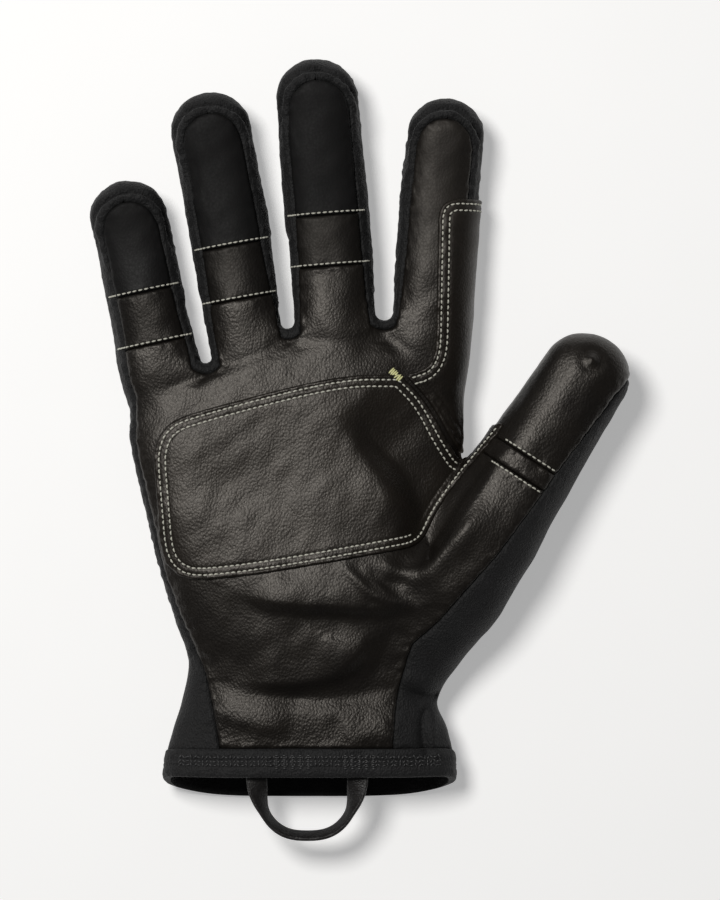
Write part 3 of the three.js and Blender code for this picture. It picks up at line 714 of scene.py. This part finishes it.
def sewn(name, inside, material, edge=None, rise=0.0, thickness=1.5, roll=1.1, sink=0.8,
         grooves=(), lines=(), gather=0.1):
    """A panel of the glove with its thickness and rolled edges, in place of its solid."""
    levels = [roll * share for share in ROLL_LEVELS] + list(lines)
    for groove in grooves:
        levels += [groove - GROOVE_SIDE, groove, groove + GROOVE_SIDE]
    keep = (inside[skin_tris] > -0.01).any(1)
    table = np.column_stack([verts, normals, inside, inside if edge is None else edge])
    table, tris = split(*compact(table, skin_tris[keep]), INSIDE, 0.0)
    tris = tris[table[tris][:, :, INSIDE].mean(1) > 0]
    for level in sorted(levels):
        table, tris = split(table, tris, EDGE, level)
    table, tris = compact(table, tris)
    p, n, d = table[:, :3], table[:, 3:6], np.maximum(table[:, EDGE], 0)
    swell = crumple(p, n) + rise
    pucker = gather * wave_noise(p, PUCKER_SIZE, PUCKER_SEED) * bell(d, PUCKER_REACH)
    curl = np.clip(1 - d / roll, 0, 1)
    height = swell + pucker - sink * (1 - np.sqrt(1 - curl * curl))
    for groove in grooves:
        height = height - GROOVE_DEPTH * bell(d - groove, GROOVE_WIDTH)
    lifted = p + np.array([0.0, 0.0, 1.0]) * settle(p, n)[:, None]
    outer = lifted + n * height[:, None]
    inner = lifted + n * np.minimum(swell - thickness, height - THINNEST)[:, None]
    points, faces = close_sheet(outer, inner, tris)
    points[:, 2] = np.maximum(points[:, 2], 0.02)
    obj = make_object(name + "_sewn", points, faces, material, 2 * len(tris))
    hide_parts(name)
    surfaces.append((outer, tris))


# Materials

class Nodes:
    """A short hand for a material's nodes."""

    def __init__(self, name):
        self.material = bpy.data.materials.new(name)
        self.material.use_nodes = True
        self.tree = self.material.node_tree
        self.shader = self.tree.nodes["Principled BSDF"]
        self.coords = self.node("ShaderNodeTexCoord").outputs["Object"]

    def put(self, node, inputs):
        """Gives a node's inputs plain values or other nodes' outputs."""
        for key, value in inputs.items():
            if isinstance(value, bpy.types.NodeSocket):
                self.tree.links.new(value, node.inputs[key])
            else:
                node.inputs[key].default_value = value

    def node(self, kind, inputs=None, **settings):
        node = self.tree.nodes.new(kind)
        for key, value in settings.items():
            setattr(node, key, value)
        self.put(node, inputs or {})
        return node

    def mapped(self, scale, turn=0.0):
        inputs = {"Vector": self.coords, "Rotation": (0, 0, turn), "Scale": scale}
        return self.node("ShaderNodeMapping", inputs).outputs["Vector"]

    def texture(self, kind, size_mm, stretch, inputs):
        vector = self.coords if stretch is None else self.mapped(stretch)
        return self.node(kind, {"Vector": vector, "Scale": 1.0 / (size_mm * MM), **inputs})

    def noise(self, size_mm, detail, roughness, stretch=None):
        """Noise whose bumps are about a size across."""
        inputs = {"Detail": detail, "Roughness": roughness}
        return self.texture("ShaderNodeTexNoise", size_mm, stretch, inputs).outputs["Fac"]

    def cells(self, size_mm, stretch=None):
        return self.texture("ShaderNodeTexVoronoi", size_mm, stretch, {}).outputs["Distance"]

    def ramp(self, value, low, high, start=0.0, end=1.0):
        """A value brought from one range to another."""
        inputs = {"Value": value, "From Min": start, "From Max": end, "To Min": low, "To Max": high}
        return self.node("ShaderNodeMapRange", inputs).outputs["Result"]

    def math(self, operation, a, b):
        return self.node("ShaderNodeMath", {0: a, 1: b}, operation=operation).outputs["Value"]

    def colours(self, value, low, high):
        # inputs 0, 6 and 7 are the factor and the two colours, and output 2 is the colour
        mix = self.node("ShaderNodeMix", {0: value, 6: (*low, 1), 7: (*high, 1)}, data_type="RGBA")
        self.put(self.shader, {"Base Color": mix.outputs[2]})

    def mottled(self, noise, dark, light):
        self.colours(self.ramp(noise, 0, 1, 0.3, 0.7), dark, light)

    def bumps(self, *layers):
        """Layers of a height, its depth in mm and its strength, one bump on the other."""
        below = {}
        for height, depth_mm, strength in layers:
            inputs = {"Strength": strength, "Distance": depth_mm * MM, "Height": height, **below}
            below = {"Normal": self.node("ShaderNodeBump", inputs).outputs["Normal"]}
        self.put(self.shader, below)


# Along the part's Y, in metres: the leather is stretched smooth towards the index finger's tip, and its
# grain gets coarser towards the cuff
SMOOTH_FROM, SMOOTH_TO = 0.048, 0.08
COARSE_FROM, COARSE_TO = -0.068, -0.105
GRAIN_TURN, GRAIN_SCALE = 48, (1.0, 0.8, 1.0)  # in degrees


def leather(name, dark, light, rough, grain=1.0, shine=0.45, tint=(1.0, 0.94, 0.87)):
    m = Nodes(name)
    y = m.node("ShaderNodeSeparateXYZ", {"Vector": m.coords}).outputs["Y"]
    stretched = m.ramp(y, 0.0, 1.0, SMOOTH_FROM, SMOOTH_TO)
    coarse = m.ramp(y, 0.0, 0.8, COARSE_FROM, COARSE_TO)
    relief = m.math("SUBTRACT", m.math("ADD", coarse, 1.0), m.math("MULTIPLY", stretched, 0.6))
    m.mottled(m.noise(14, 3, 0.6), dark, light)
    m.coords = m.mapped(GRAIN_SCALE, math.radians(GRAIN_TURN))
    pebble = m.cells(0.75)
    fine = m.noise(0.8, 3, 0.7)
    creases = m.noise(2.4, 2, 0.6)
    sheen = m.math("ADD", m.math("MULTIPLY", pebble, 0.5), fine)
    gloss = m.ramp(sheen, rough - 0.05, rough + 0.1, 0.3, 1.1)
    gloss = m.math("ADD", gloss, m.math("MULTIPLY", stretched, 0.14))
    fine, pebble = m.math("MULTIPLY", fine, relief), m.math("MULTIPLY", pebble, relief)
    m.bumps((creases, 0.05, 0.2 * grain), (fine, 0.1, grain), (pebble, 0.08, grain))
    m.put(m.shader, {"Roughness": gloss, "Specular IOR Level": shine, "Specular Tint": (*tint, 1.0)})
    return m.material


def stretch_cloth(name, dark, light):
    m = Nodes(name)
    m.mottled(m.noise(9, 3, 0.6), dark, light)
    m.put(m.shader, {"Roughness": 0.7, "Specular IOR Level": 0.36})
    m.put(m.shader, {"Sheen Weight": 0.03, "Sheen Roughness": 0.5})
    knit = m.cells(0.62, (1.0, 0.7, 1.0))
    m.bumps((m.noise(5, 2, 0.5), 0.4, 0.2), (knit, 0.28, 0.9), (m.noise(0.7, 2, 0.6), 0.25, 0.9))
    return m.material


def woven(name, dark, light, rough):
    m = Nodes(name)
    wear = m.ramp(m.noise(0.5, 1, 0.5), 0.5, 1.4)
    weave = m.math("MULTIPLY", m.cells(0.55, (0.8, 1.0, 1.0)), wear)
    m.colours(weave, dark, light)
    m.put(m.shader, {"Roughness": rough})
    m.bumps((weave, 0.2, 0.8))
    return m.material


def thread(name, dark, light, rough=0.6):
    m = Nodes(name)
    ply = m.noise(0.25, 2, 0.6, (1.0, 1.0, 0.4))
    m.mottled(ply, dark, light)
    m.put(m.shader, {"Roughness": rough})
    m.bumps((ply, 0.08, 0.5))
    return m.material


# two colours, roughness, strength of the grain, shine and the shine's tint
LEATHER = leather("black_leather", (0.0058, 0.0048, 0.0042), (0.0095, 0.0078, 0.0064), 0.38)
# the middle pads: the palm's leather with darker colours and less shine, painted shade where the fingers
# curve up away from the light
MID_LEATHER_PAINTED_SHADE = leather("mid_pad_leather_painted_shade", (0.0052, 0.0046, 0.0042), (0.008, 0.007, 0.0062), 0.4, 0.9, 0.28)
PAD_LEATHER = leather(
    "pad_leather", (0.0062, 0.0061, 0.0062), (0.0088, 0.0085, 0.0086), 0.45, 0.6, 0.15, (1, 1, 1)
)
PATCH_LEATHER = leather("patch_leather", (0.0075, 0.006, 0.0048), (0.0135, 0.0107, 0.0083), 0.38)
CLOTH = stretch_cloth("black_stretch_cloth", (0.0055, 0.0056, 0.006), (0.0095, 0.0096, 0.0103))
# the binding: the black cloth with its colours raised about 1.3 times, painted highlight for the light on
# its rolled edge
HEM_CLOTH_PAINTED_HIGHLIGHT = stretch_cloth("black_binding_painted_highlight", (0.0072, 0.0073, 0.0078), (0.0125, 0.0126, 0.0136))
WEBBING = woven("black_webbing", (0.005, 0.0045, 0.0045), (0.017, 0.015, 0.0145), 0.5)
WHITE_THREAD = thread("off_white_thread", (0.4, 0.4, 0.34), (0.75, 0.74, 0.65))
YELLOW_THREAD = thread("yellow_thread", (0.66, 0.66, 0.29), (0.9, 0.89, 0.52))
BLACK_THREAD = thread("black_thread", (0.01, 0.01, 0.0105), (0.045, 0.045, 0.047), 0.4)

# Panels

for name, inside in cloth.items():
    strip = name.endswith("_side")
    sewn(name, inside, CLOTH, roll=1.4, sink=1.3 if strip else 0.9,
         edge=np.minimum(sides, ABOVE) if strip else None, lines=TIP_LINES if strip else (),
         gather=0.15 if strip else 0.1)
for name, inside in front.items():
    hide = PAD_LEATHER if name.endswith("tip_pad") else MID_LEATHER_PAINTED_SHADE if name.endswith("mid_pad") else LEATHER
    sewn(name, inside, hide, rise=0.15, thickness=1.7, roll=1.2, sink=1.1,
         gather=0.07 if name.endswith("_pad") else 0.12)

patch_lines = []
for name, corners in (("palm_patch", PALM_PATCH), ("index_patch", INDEX_PATCH)):
    outline, rows = rounded_outline(corners)
    inside = np.minimum.reduce([outline_distance(outline), ABOVE + 1.0, UNDER])
    sewn(name, inside, PATCH_LEATHER, rise=1.15, thickness=1.6, roll=0.9, sink=0.75,
         grooves=PATCH_ROWS)
    patch_lines.append((outline, rows))

HEM_ROWS = (3.9, 5.2, 6.5)  # from the cuff's edge
# the binding's lighter colours are painted highlight
sewn("cuff_hem", np.minimum(FROM_CUFF, HEM_HEIGHT - FROM_CUFF), HEM_CLOTH_PAINTED_HIGHLIGHT,
     rise=0.75, thickness=2.7, roll=1.6, sink=1.0, grooves=HEM_ROWS[:1])

# the pieces' outer faces, to lay stitches on
starts = np.cumsum([0] + [len(outer) for outer, _ in surfaces])
tree = BVHTree.FromPolygons(
    np.vstack([outer for outer, _ in surfaces]).tolist(),
    np.vstack([tris + start for (_, tris), start in zip(surfaces, starts)]).tolist(),
)


def on_glove(line):
    """A flat line laid on the palm side: points and the skin's direction out."""
    above, down = 90.0, Vector((0, 0, -1))
    out = []
    for x, y in line:
        spot, direction, _, _ = tree.ray_cast(Vector((x, y, above)), down)
        if spot is not None:
            out.append((np.array(spot), np.array(direction)))
    return out


def resample(points, pitch):
    points = np.asarray(points, float)
    length = run_lengths(points)
    count = max(1, int(round(length[-1] / pitch)))
    at = (np.arange(count) + 0.5) * length[-1] / count
    return np.column_stack([np.interp(at, length, points[:, k]) for k in range(points.shape[1])])


def stitch_frames(line, pitch):
    """Middles, directions and outward directions of the stitches along a flat line."""
    laid = on_glove(resample(line, 0.35))
    if len(laid) < 3:
        return []
    both = resample([[*spot, *out] for spot, out in laid], pitch)
    middles, outs = both[:, :3], unit(both[:, 3:])
    ahead = np.gradient(middles, axis=0) if len(middles) > 1 else np.array([[1.0, 0, 0]])
    return list(zip(middles, unit(ahead), outs))


def tube_faces(rings, sides):
    """Triangles of a tube through rings of points, with its ends' middles as two last points."""
    faces = []
    for r in range(rings - 1):
        for i in range(sides):
            a, b = r * sides + i, r * sides + (i + 1) % sides
            faces += [(a, b, b + sides), (a, b + sides, a + sides)]
    middle, last = rings * sides, (rings - 1) * sides
    for i in range(sides):
        j = (i + 1) % sides
        faces += [(middle, j, i), (middle + 1, last + i, last + j)]
    return np.array(faces)


# A stitch: how far its middle is raised and its ends go in, how much thinner they get, how flat it is
# and how long its points are, in radii; then how far it sways and how its length varies
STITCH_RISE, STITCH_DIP, STITCH_TAPER, STITCH_FLAT, STITCH_END = 0.55, 0.84, 0.45, 0.8, 0.5
STITCH_SWAY, STITCH_LENGTHS = 0.05, (0.94, 1.05)


def stitches(name, frames, material, length, radius, sides=7, rings=5):
    """A run of thread stitches, each one dipping into the leather at its two ends."""
    t = np.linspace(-1, 1, rings)
    around = np.arange(sides) * 2 * np.pi / sides
    fat = (radius * (1 - STITCH_TAPER * t**4))[:, None, None]
    wide, high = np.cos(around)[None, :, None] * fat, np.sin(around)[None, :, None] * fat * STITCH_FLAT
    dip = (radius * (STITCH_RISE - STITCH_DIP * t**2))[:, None]
    tube = tube_faces(rings, sides)
    points, faces = [], []
    rng = np.random.default_rng(11)
    for i, (middle, ahead, out) in enumerate(frames):
        ahead = unit(ahead - out * np.dot(ahead, out))
        ahead = unit(ahead + np.cross(out, ahead) * rng.normal(0, STITCH_SWAY))
        side = np.cross(out, ahead)
        half = length / 2 * rng.uniform(*STITCH_LENGTHS)
        centre = middle + ahead * (t * half)[:, None] + out * dip
        ring = centre[:, None] + side * wide + out * high
        end = ahead * radius * STITCH_END
        points.append(np.vstack([ring.reshape(-1, 3), centre[0] - end, centre[-1] + end]))
        faces.append(tube + i * (rings * sides + 2))
    obj = make_object(name, np.vstack(points), np.vstack(faces)[:, ::-1], material)


def inset_lines(outline, rows, inset, row):
    """The outline moved inwards, in the stretches that have more rows of stitches than a number."""
    points = np.asarray(outline)
    keep = np.linalg.norm(np.diff(np.vstack([points, points[:1]]), axis=0), axis=1) > 1e-6
    points, flags = points[keep], np.array(rows)[keep]
    closed = np.vstack([points, points[:1]])
    length = run_lengths(closed)
    at = np.arange(0, length[-1], 0.4)
    dense = np.column_stack([np.interp(at, length, closed[:, k]) for k in range(2)])
    flag = flags[np.clip(np.searchsorted(length, at, side="right") - 1, 0, len(flags) - 1)]
    ahead = unit(np.roll(dense, -2, axis=0) - np.roll(dense, 2, axis=0))
    area = (closed[:-1, 0] * closed[1:, 1] - closed[1:, 0] * closed[:-1, 1]).sum()
    moved = dense + np.column_stack([-ahead[:, 1], ahead[:, 0]]) * np.sign(area) * inset
    true = np.linalg.norm(moved[:, None] - dense[flag > row][None], axis=2).min(1)
    good = (np.abs(true - inset) < 0.3) & (flag > row)
    good &= polygon_distance(points, moved[:, 0], moved[:, 1]) > 0.3
    lines, run = [], []
    start = int(np.argmin(good)) if not good.all() else 0
    for i in np.roll(np.arange(len(moved)), -start):
        jump = run and np.linalg.norm(moved[i] - run[-1]) > 2.0
        if run and (jump or not good[i]):
            lines.append(run)
            run = []
        if good[i]:
            run.append(moved[i])
    lines.append(run)
    return [line for line in lines if len(line) > 6]


frames = []
for outline, rows in patch_lines:
    for row, inset in enumerate(PATCH_ROWS):
        for line in inset_lines(outline, rows, inset, row):
            frames += stitch_frames(line, pitch=1.95)
stitches("patch_stitching", frames, WHITE_THREAD, length=1.35, radius=0.31)

# Cross seams: how far a row runs on beyond a finger's pad, and where it lies from the seam
SEAM_PAST, SEAM_SHIFT = 2.3, 0.9
frames = []
for finger in FINGERS.values():
    for seam in finger[6]:
        half = finger[4] * float(smooth_column(FINGER_ROWS, 1, np.array(seam))) - RIM + SEAM_PAST
        ends = [limb_point(finger, s * half, seam * finger[3] + SEAM_SHIFT) for s in (-1, 1)]
        row = stitch_frames(ends, pitch=2.0)
        # sewn back over itself at both ends
        doubled = [((row[i][0] + row[i + 1][0]) / 2 + 0.1 * row[i][2], *row[i][1:]) for i in (0, -2)]
        frames += row + doubled
for seam, shift in zip(THUMB[6], (-1.0, 1.0)):
    half = THUMB[4] * float(smooth_column(THUMB_ROWS, 4, np.array(seam)))
    ends = [limb_point(THUMB, u, seam * THUMB[3] + shift) for u in (-THUMB[4] * 0.36, half - 0.8)]
    frames += stitch_frames(ends, pitch=2.0)
stitches("finger_stitching", frames, WHITE_THREAD, length=1.4, radius=0.3)


def hem_line(from_cuff, start, end):
    """A line at a distance from the cuff's slanted edge, between two places across it."""
    line = []
    for x in np.arange(start, end, 0.5):
        z = CUFF_TOP
        for _ in range(3):
            laid = on_glove([(x, from_cuff + CUFF_SLANT * z + cuff_bow(x))])
            z = laid[0][0][2] if laid else z
        line.append((x, from_cuff + CUFF_SLANT * z + cuff_bow(x)))
    return line


def turned(frames, angles):
    """Stitches turned on the spot, by angles taken in turn."""
    out = []
    for i, (middle, ahead, up) in enumerate(frames):
        angle = math.radians(angles[i % len(angles)])
        out.append((middle, unit(math.cos(angle) * ahead + math.sin(angle) * np.cross(up, ahead)), up))
    return out


# Black zigzag round the binding, and the tacks that hold the loop's legs: their ends across the cuff, and
# the angles that the stitches take in turn
HEM_ENDS, ZIGZAG = (-36, 52), (55, -40, 15, -70, 40, -20, 80)
LEG_ENDS, LEG_ROWS, LEG_TURNS = ((-4.5, 9.5), (18.5, 31)), np.arange(2.9, 7.4, 0.7), (6, -8, 12)
frames = []
for from_cuff in HEM_ROWS:
    frames += turned(stitch_frames(hem_line(from_cuff, *HEM_ENDS), pitch=1.35), ZIGZAG)
for ends in LEG_ENDS:
    for from_cuff in LEG_ROWS:
        frames += turned(stitch_frames(hem_line(from_cuff, *ends), pitch=2.6), LEG_TURNS)
stitches("hem_stitching", frames, BLACK_THREAD, length=1.7, radius=0.3)

# The bar tack where the two patches meet: its middle, its reach and the direction of its stitches
TACK_X, TACK_Y, TACK_REACH, TACK_AHEAD = 36.4, 141.4, 1.4, (0.72, 0.69, 0.0)
steps = TACK_REACH * np.linspace(-1, 1, 7)
laid = on_glove(zip(TACK_X + steps, TACK_Y - steps))
tack = [(spot, unit(np.array(TACK_AHEAD)), out) for spot, out in laid]
stitches("bar_tack", tack, YELLOW_THREAD, length=2.5, radius=0.34)

# The pull loop
LOOP_MIDDLE = 0.0625 * PALM_WIDTH
LOOP_SPREAD, LOOP_REACH, LOOP_TUCK = 33.6, 19.9, 9.0
LOOP_WIDTH, LOOP_THICK, LOOP_CORNER = 7.0, 1.3, 0.5
LOOP_BEND = 0.75  # less than 1 makes its bend squarer
LOOP_TURN, LOOP_SOON = 72, 1.7  # degrees that it turns by, and how early
LOOP_SAG, LOOP_UNDER = 5.0, 2.5  # the middle hangs lower, and the legs are under the palm's surface


def pull_loop():
    """Webbing that leaves the binding flat, turns on the way round and goes in again."""
    half, cuff_y = LOOP_SPREAD / 2, CUFF_SLANT * CUFF_TOP
    leg = np.linspace(0, 1, 13)[1:]
    route = [(-half, cuff_y + LOOP_TUCK * t, 90.0, 0.0) for t in leg[::-1]]
    for angle in np.linspace(0, math.pi, 72):
        s, c = math.sin(angle), math.cos(angle)
        side = math.copysign(abs(c) ** LOOP_BEND, c)
        roll = 90 - LOOP_TURN * min(1.0, LOOP_SOON * s)
        route.append((-half * side, cuff_y - LOOP_REACH * s, roll, LOOP_SAG * s))
    route = np.array(route + [(half, cuff_y + LOOP_TUCK * t, 90.0, 0.0) for t in leg])
    for _ in range(6):
        route[1:-1] = (route[:-2] + 2 * route[1:-1] + route[2:]) / 4
    section = []
    for w, t, start in ((1, 1, 0), (-1, 1, 90), (-1, -1, 180), (1, -1, 270)):
        for angle in np.radians(np.arange(start, start + 91, 30)):
            section.append((
                w * (LOOP_WIDTH / 2 - LOOP_CORNER) + LOOP_CORNER * math.cos(angle),
                t * (LOOP_THICK / 2 - LOOP_CORNER) + LOOP_CORNER * math.sin(angle),
            ))
    section = np.array(section)
    rings = []
    for i, (x, y, roll, drop) in enumerate(route):
        a, b = route[max(0, i - 1)], route[min(len(route) - 1, i + 1)]
        along = unit(np.array([*(b - a)[:2], 0.0]))
        inward = np.array([-along[1], along[0], 0.0])
        roll = math.radians(roll)
        face = inward * math.cos(roll) + np.array([0, 0, math.sin(roll)])
        wide = np.cross(along, face)
        arch = max(0.0, 1 - abs(x / CUFF_HALF) ** PALM_ROUND) ** (1 / PALM_ROUND)
        z = CUFF_TOP / 2 * (1 + arch) - LOOP_UNDER - LOOP_THICK / 2 - drop
        centre = np.array([LOOP_MIDDLE + x, y, z])
        rings.append(centre + section[:, :1] * wide + section[:, 1:] * face)
    points = np.vstack(rings + [rings[0].mean(0)[None], rings[-1].mean(0)[None]])
    obj = make_object("pull_loop_webbing", points, tube_faces(len(rings), len(section)), WEBBING)
    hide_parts("pull_loop")


pull_loop()

# Studio

floor_mesh = bpy.data.meshes.new("floor")
floor_mesh.from_pydata([(-3, -3, 0), (3, -3, 0), (3, 3, 0), (-3, 3, 0)], [], [(0, 1, 2, 3)])
floor = new_object("floor", floor_mesh)
paper = Nodes("paper")
paper.colours(paper.noise(40, 2, 0.5), (0.88, 0.88, 0.88), (0.9, 0.9, 0.9))
paper.put(paper.shader, {"Roughness": 0.9, "Emission Color": (1, 1, 1, 1), "Emission Strength": 0.36})
floor_mesh.materials.append(paper.material)

world = bpy.data.worlds.new("studio")
world.use_nodes = True
background = world.node_tree.nodes["Background"]
background.inputs["Color"].default_value = (1.0, 1.0, 1.0, 1.0)
background.inputs["Strength"].default_value = 0.06
bpy.context.scene.world = world
bpy.context.scene.view_settings.view_transform = "Standard"

KEY_SPOT = Vector((-0.42, 0.42, 1.25))
key = bpy.data.lights.new("key", "AREA")
key.shape = "DISK"
key.size = 0.45
key.energy = 12.5
key.color = (1.0, 0.985, 0.96)
lamp = new_object("key", key)
lamp.location = KEY_SPOT
lamp.rotation_euler = (-KEY_SPOT).to_track_quat("-Z", "Y").to_euler()

camera_data = bpy.data.cameras.new("camera")
camera_data.lens = 190
camera = new_object("camera", camera_data)
camera.location = (0.0, 0.0, 1.6)
bpy.context.scene.camera = camera
